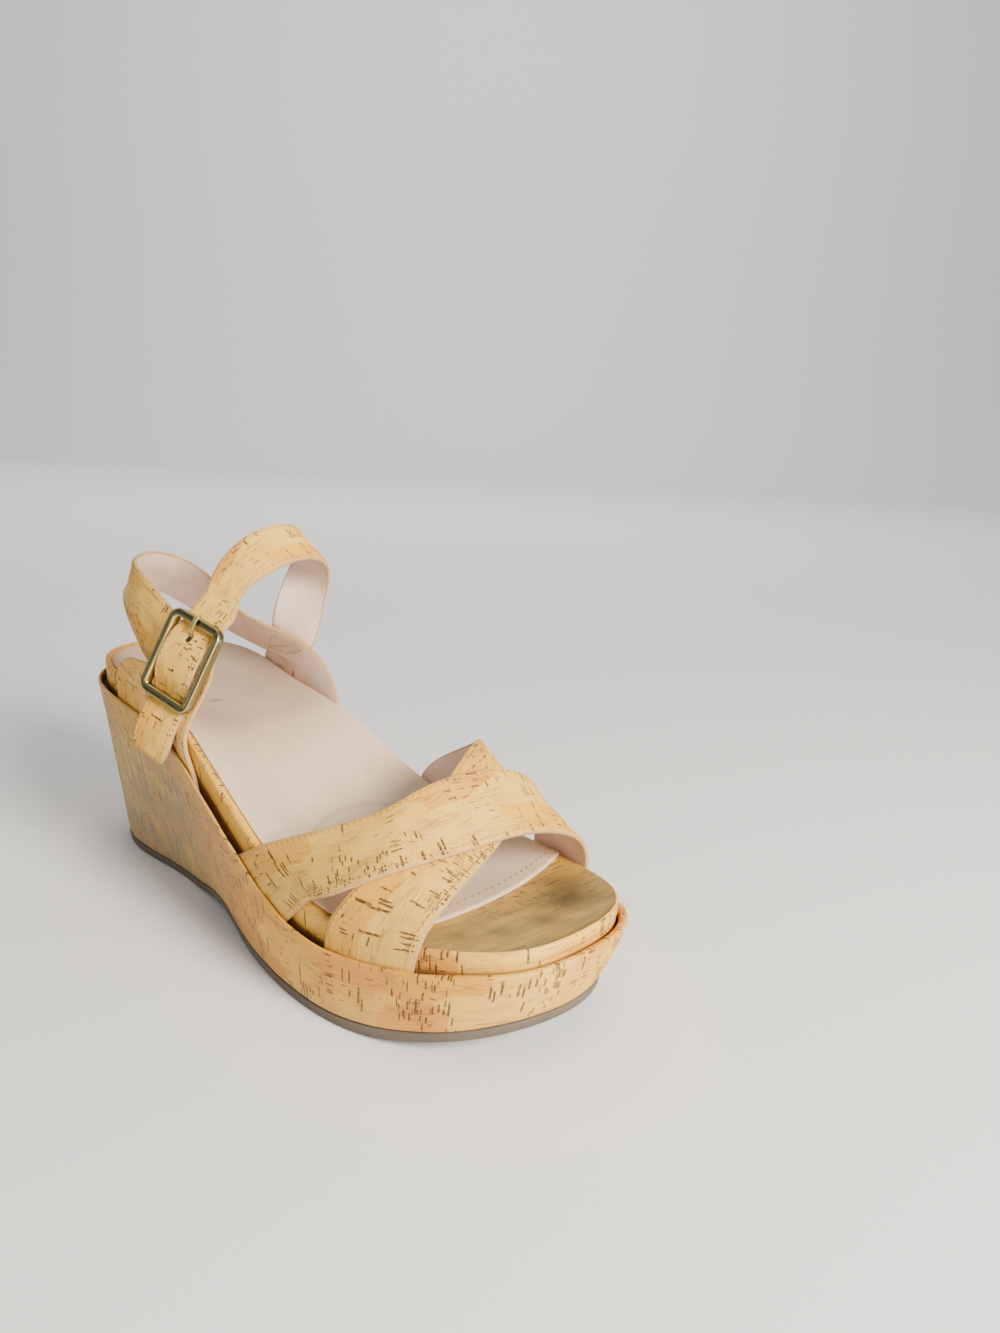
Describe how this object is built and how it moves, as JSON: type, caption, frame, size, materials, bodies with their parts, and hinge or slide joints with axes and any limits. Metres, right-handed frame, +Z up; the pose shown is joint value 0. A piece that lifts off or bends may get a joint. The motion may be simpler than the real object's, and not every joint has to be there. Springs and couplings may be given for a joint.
{
  "type": "platform sandal",
  "caption": "Right platform sandal: cork-wrapped wedge with a thin rubber outsole, crossed front straps and crossed ankle straps closed by a buckle.",
  "frame": {"origin": "on the floor under the middle of the flat part of the heel", "axes": "+Z up, the toe points along -Y, +X is the inner side of the foot and -X the outer side with the buckle"},
  "size_m": [0.098, 0.2591, 0.134],
  "materials": {
    "outsole_rubber": "matte grey-brown rubber",
    "cork_wrap": "matte cork sheet with short dark flecks over a light core",
    "footbed_cork": "matte cork sheet over a moulded footbed",
    "sock_suede": "worn grey-beige suede",
    "strap_cloth": "cork-faced strap with a soft taupe lining",
    "buckle_metal": "antique brass, worn bright on the edges"
  },
  "bodies": {
    "root": {"outsole": "outsole_rubber", "platform": "cork_wrap", "footbed": "footbed_cork", "sock_lining": "sock_suede", "front_straps": "strap_cloth", "ankle_straps": "strap_cloth", "buckle_tab": "strap_cloth", "buckle_frame": "buckle_metal", "buckle_prong": "buckle_metal"}
  },
  "joints": []
}
